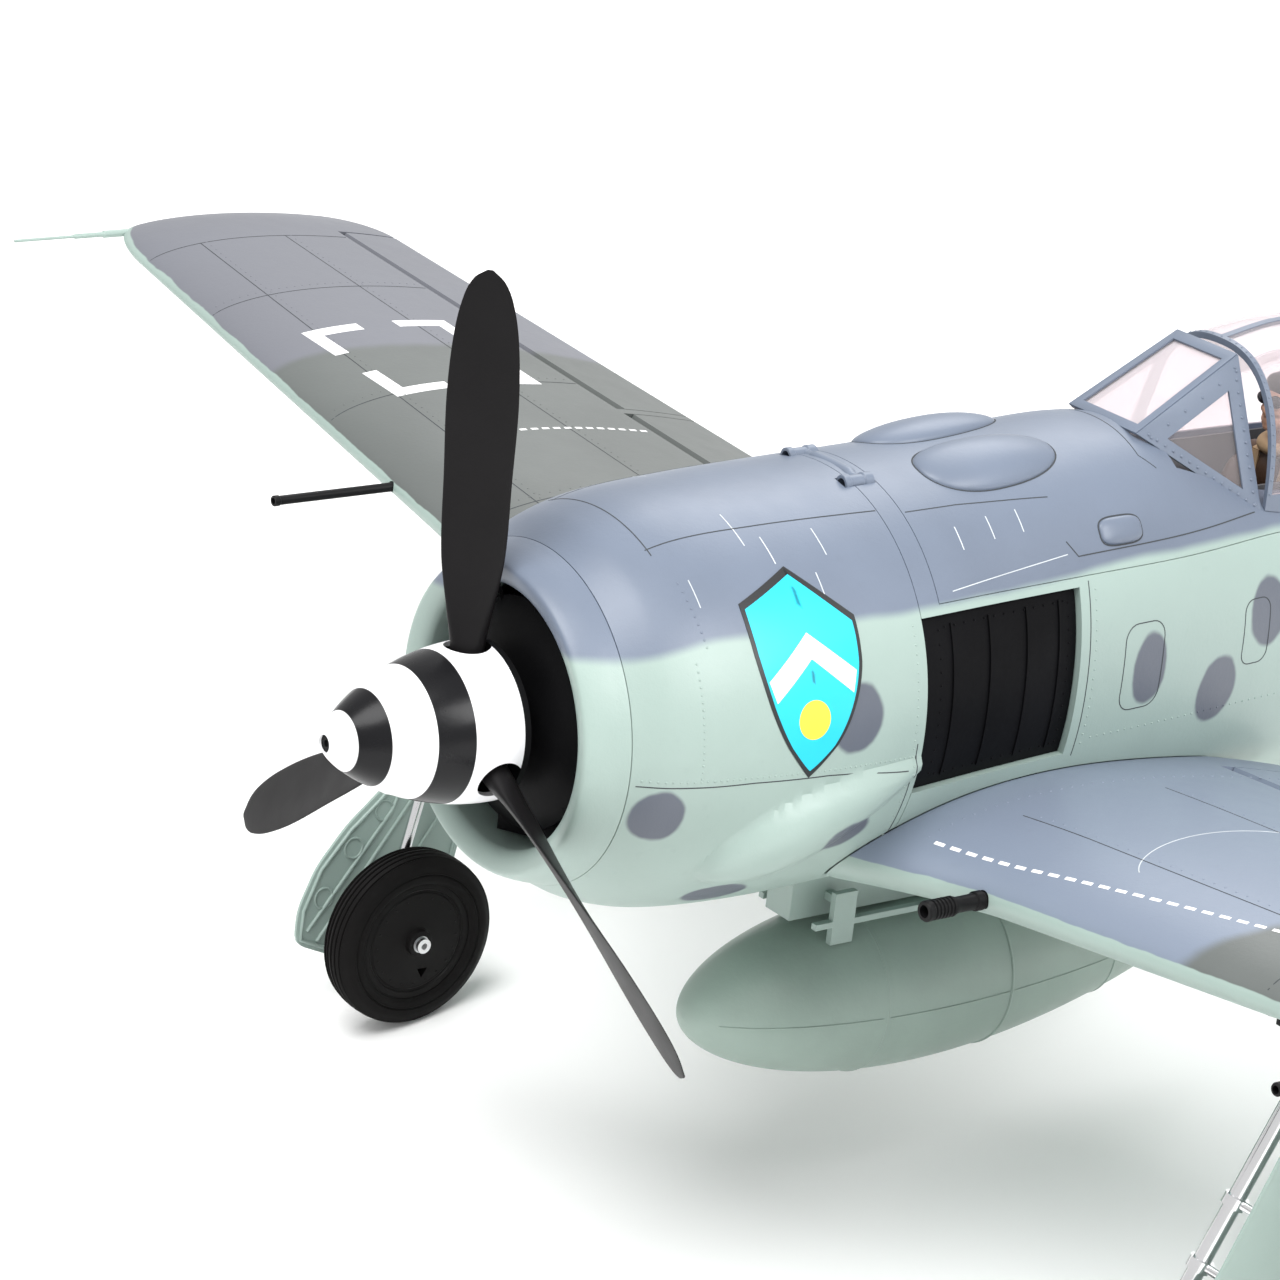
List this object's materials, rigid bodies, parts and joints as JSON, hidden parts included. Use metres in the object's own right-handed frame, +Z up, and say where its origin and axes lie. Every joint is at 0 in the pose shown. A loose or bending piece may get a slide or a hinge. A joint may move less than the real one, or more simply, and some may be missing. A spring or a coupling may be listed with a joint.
{
  "type": "radio-controlled warbird aeroplane",
  "caption": "Electric scale model of a radial-engined low-wing warbird: propeller and spinner, sliding canopy, moving control surfaces, retracting main legs, drop tank and steerable tail wheel",
  "frame": {"origin": "middle of the bounding box at ground level", "axes": "+X towards the port wing tip, -Y towards the nose, +Z up; standing on its three wheels, nose up by ten degrees"},
  "size_m": [1.499, 1.27, 0.5099],
  "materials": {
    "painted_slate": "satin",
    "painted_mint": "satin",
    "wing_paint": "satin",
    "black_plastic": "satin",
    "blade_black": "satin",
    "spinner_white": "gloss",
    "hub_black": "satin",
    "tyre_rubber": "matte",
    "metal": "machined",
    "strut_metal": "polished",
    "engine_grey": "satin",
    "plywood": "bare",
    "clear_pane": "clear",
    "cockpit_dark": "matte",
    "figure": "matte",
    "battery_wrap": "gloss",
    "carbon": "satin"
  },
  "bodies": {
    "airframe": {"fuselage": "painted_mint", "cowl": "painted_slate", "cowl_ring": "painted_slate", "firewall": "plywood", "motor_stator": "engine_grey", "dummy_engine": "engine_grey", "exhaust_panels": "black_plastic", "cowl_guns": "painted_slate", "wing_left": "wing_paint", "wing_right": "wing_paint", "wing_spar": "carbon", "wing_cannons": "black_plastic", "pitot_tube": "painted_mint", "servos": "black_plastic", "fin": "painted_mint", "tailplane": "wing_paint", "retract_units": "black_plastic", "drop_tank": "painted_mint", "tank_rack": "painted_mint", "battery": "battery_wrap", "electronics": "black_plastic"},
    "propeller": {"motor_rotor": "metal", "spinner": "spinner_white", "spinner_backplate": "black_plastic", "propeller_blades": "blade_black", "propeller_hub": "metal", "cooling_fan": "engine_grey"},
    "hatch_unit": {"hatch": "painted_slate", "windscreen_frame": "painted_slate", "windscreen_glass": "clear_pane", "cockpit_tub": "cockpit_dark", "pilot": "figure"},
    "canopy": {"canopy_frame": "painted_slate", "canopy_glass": "clear_pane"},
    "elevator": {"elevator": "wing_paint"},
    "rudder": {"rudder": "painted_mint"},
    "tail_strut": {"tail_strut": "metal"},
    "tail_wheel": {"tail_wheel": "tyre_rubber"},
    "aileron_left": {"aileron_left": "wing_paint"},
    "flap_left": {"flap_left": "wing_paint"},
    "aileron_arm_left": {"aileron_arm_left": "black_plastic"},
    "aileron_rod_left": {"aileron_rod_left": "strut_metal"},
    "flap_arm_left": {"flap_arm_left": "black_plastic"},
    "flap_rod_left": {"flap_rod_left": "strut_metal"},
    "gear_left": {"gear_leg_left": "metal", "gear_door_left": "painted_mint"},
    "piston_left": {"gear_piston_left": "strut_metal"},
    "wheel_left": {"wheel_hub_left": "hub_black", "tyre_left": "tyre_rubber"},
    "aileron_right": {"aileron_right": "wing_paint"},
    "flap_right": {"flap_right": "wing_paint"},
    "aileron_arm_right": {"aileron_arm_right": "black_plastic"},
    "aileron_rod_right": {"aileron_rod_right": "strut_metal"},
    "flap_arm_right": {"flap_arm_right": "black_plastic"},
    "flap_rod_right": {"flap_rod_right": "strut_metal"},
    "gear_right": {"gear_leg_right": "metal", "gear_door_right": "painted_mint"},
    "piston_right": {"gear_piston_right": "strut_metal"},
    "wheel_right": {"wheel_hub_right": "hub_black", "tyre_right": "tyre_rubber"}
  },
  "joints": [
    {"name": "propeller_spin", "type": "hinge", "parent": "airframe", "child": "propeller", "pos_m": [0, -0.56443, 0.31312], "axis": [0, 0.9848, -0.1736], "continuous": true},
    {"name": "aileron_left", "type": "hinge", "parent": "airframe", "child": "aileron_left", "pos_m": [0.56, -0.19151, 0.22957], "axis": [0.9954, 0.0026, 0.0961], "range_deg": [-20, 20]},
    {"name": "aileron_arm_left_turn", "type": "hinge", "parent": "airframe", "child": "aileron_arm_left", "pos_m": [0.51912, -0.25266, 0.23648], "axis": [0.9954, 0.0026, 0.0961], "range_deg": [-20.5, 20.5]},
    {"name": "aileron_rod_left_turn", "type": "hinge", "parent": "aileron_arm_left", "child": "aileron_rod_left", "pos_m": [0.52102, -0.25615, 0.21687], "axis": [0.9954, 0.0026, 0.0961], "range_deg": [-20.5, 20.5]},
    {"name": "aileron_right", "type": "hinge", "parent": "airframe", "child": "aileron_right", "pos_m": [-0.56, -0.19151, 0.22957], "axis": [0.9954, -0.0026, -0.0961], "range_deg": [-20, 20]},
    {"name": "aileron_arm_right_turn", "type": "hinge", "parent": "airframe", "child": "aileron_arm_right", "pos_m": [-0.51912, -0.25266, 0.23648], "axis": [0.9954, -0.0026, -0.0961], "range_deg": [-20.5, 20.5]},
    {"name": "aileron_rod_right_turn", "type": "hinge", "parent": "aileron_arm_right", "child": "aileron_rod_right", "pos_m": [-0.52102, -0.25615, 0.21687], "axis": [0.9954, -0.0026, -0.0961], "range_deg": [-20.5, 20.5]},
    {"name": "flap_left", "type": "hinge", "parent": "airframe", "child": "flap_left", "pos_m": [0.245, -0.19233, 0.19917], "axis": [0.9954, 0.0026, 0.0961], "range_deg": [-30, 0]},
    {"name": "flap_arm_left_turn", "type": "hinge", "parent": "airframe", "child": "flap_arm_left", "pos_m": [0.32912, -0.25316, 0.21814], "axis": [0.9954, 0.0026, 0.0961], "range_deg": [-30.5, 0.5]},
    {"name": "flap_rod_left_turn", "type": "hinge", "parent": "flap_arm_left", "child": "flap_rod_left", "pos_m": [0.33102, -0.25664, 0.19854], "axis": [0.9954, 0.0026, 0.0961], "range_deg": [-0.5, 30.5]},
    {"name": "flap_right", "type": "hinge", "parent": "airframe", "child": "flap_right", "pos_m": [-0.245, -0.19233, 0.19917], "axis": [0.9954, -0.0026, -0.0961], "range_deg": [-30, 0]},
    {"name": "flap_arm_right_turn", "type": "hinge", "parent": "airframe", "child": "flap_arm_right", "pos_m": [-0.32912, -0.25316, 0.21814], "axis": [0.9954, -0.0026, -0.0961], "range_deg": [-30.5, 0.5]},
    {"name": "flap_rod_right_turn", "type": "hinge", "parent": "flap_arm_right", "child": "flap_rod_right", "pos_m": [-0.33102, -0.25664, 0.19854], "axis": [0.9954, -0.0026, -0.0961], "range_deg": [-0.5, 30.5]},
    {"name": "elevator", "type": "hinge", "parent": "airframe", "child": "elevator", "pos_m": [0, 0.513, 0.16375], "axis": [1, 0, 0], "range_deg": [-25, 25]},
    {"name": "rudder", "type": "hinge", "parent": "airframe", "child": "rudder", "pos_m": [0, 0.55784, 0.17616], "axis": [0, 0.1736, 0.9848], "range_deg": [-28, 28]},
    {"name": "tail_steer", "type": "hinge", "parent": "airframe", "child": "tail_strut", "pos_m": [0, 0.49471, 0.10605], "axis": [0, 0.1736, 0.9848], "range_deg": [-28.5, 28.5]},
    {"name": "tail_wheel_spin", "type": "hinge", "parent": "tail_strut", "child": "tail_wheel", "pos_m": [0, 0.50664, 0.024], "axis": [1, 0, 0], "continuous": true},
    {"name": "gear_left_retract", "type": "hinge", "parent": "airframe", "child": "gear_left", "pos_m": [0.313, -0.34168, 0.22307], "axis": [0.2489, 0.8981, -0.3626], "range_deg": [0, 75.66]},
    {"name": "oleo_left", "type": "slide", "parent": "gear_left", "child": "piston_left", "axis": [0.1325, 0.4861, 0.8638], "range_m": [0, 0.01], "stiffness_N_per_m": 2200, "springref_m": -0.012},
    {"name": "wheel_left_spin", "type": "hinge", "parent": "piston_left", "child": "wheel_left", "pos_m": [0.264, -0.44076, 0.047], "axis": [1, 0, 0], "continuous": true},
    {"name": "gear_right_retract", "type": "hinge", "parent": "airframe", "child": "gear_right", "pos_m": [-0.313, -0.34168, 0.22307], "axis": [0.2489, -0.8981, 0.3626], "range_deg": [0, 75.66]},
    {"name": "oleo_right", "type": "slide", "parent": "gear_right", "child": "piston_right", "axis": [-0.1325, 0.4861, 0.8638], "range_m": [0, 0.01], "stiffness_N_per_m": 2200, "springref_m": -0.012},
    {"name": "wheel_right_spin", "type": "hinge", "parent": "piston_right", "child": "wheel_right", "pos_m": [-0.264, -0.44076, 0.047], "axis": [1, 0, 0], "continuous": true},
    {"name": "hatch_lift", "type": "slide", "parent": "airframe", "child": "hatch_unit", "axis": [0, 0.1736, 0.9848], "range_m": [0, 0.09]},
    {"name": "canopy_slide", "type": "slide", "parent": "hatch_unit", "child": "canopy", "axis": [0, 0.9848, -0.1736], "range_m": [0, 0.055]}
  ],
  "couplings": [
    {"joint": "aileron_arm_left_turn", "follows": "aileron_left", "ratio": 1},
    {"joint": "aileron_rod_left_turn", "follows": "aileron_left", "ratio": -1},
    {"joint": "aileron_arm_right_turn", "follows": "aileron_left", "ratio": -1},
    {"joint": "aileron_rod_right_turn", "follows": "aileron_left", "ratio": 1},
    {"joint": "aileron_right", "follows": "aileron_left", "ratio": -1},
    {"joint": "flap_arm_left_turn", "follows": "flap_left", "ratio": 1},
    {"joint": "flap_rod_left_turn", "follows": "flap_left", "ratio": -1},
    {"joint": "flap_arm_right_turn", "follows": "flap_left", "ratio": 1},
    {"joint": "flap_rod_right_turn", "follows": "flap_left", "ratio": -1},
    {"joint": "flap_right", "follows": "flap_left", "ratio": 1},
    {"joint": "tail_steer", "follows": "rudder", "ratio": 1},
    {"joint": "gear_right_retract", "follows": "gear_left_retract", "ratio": 1}
  ]
}
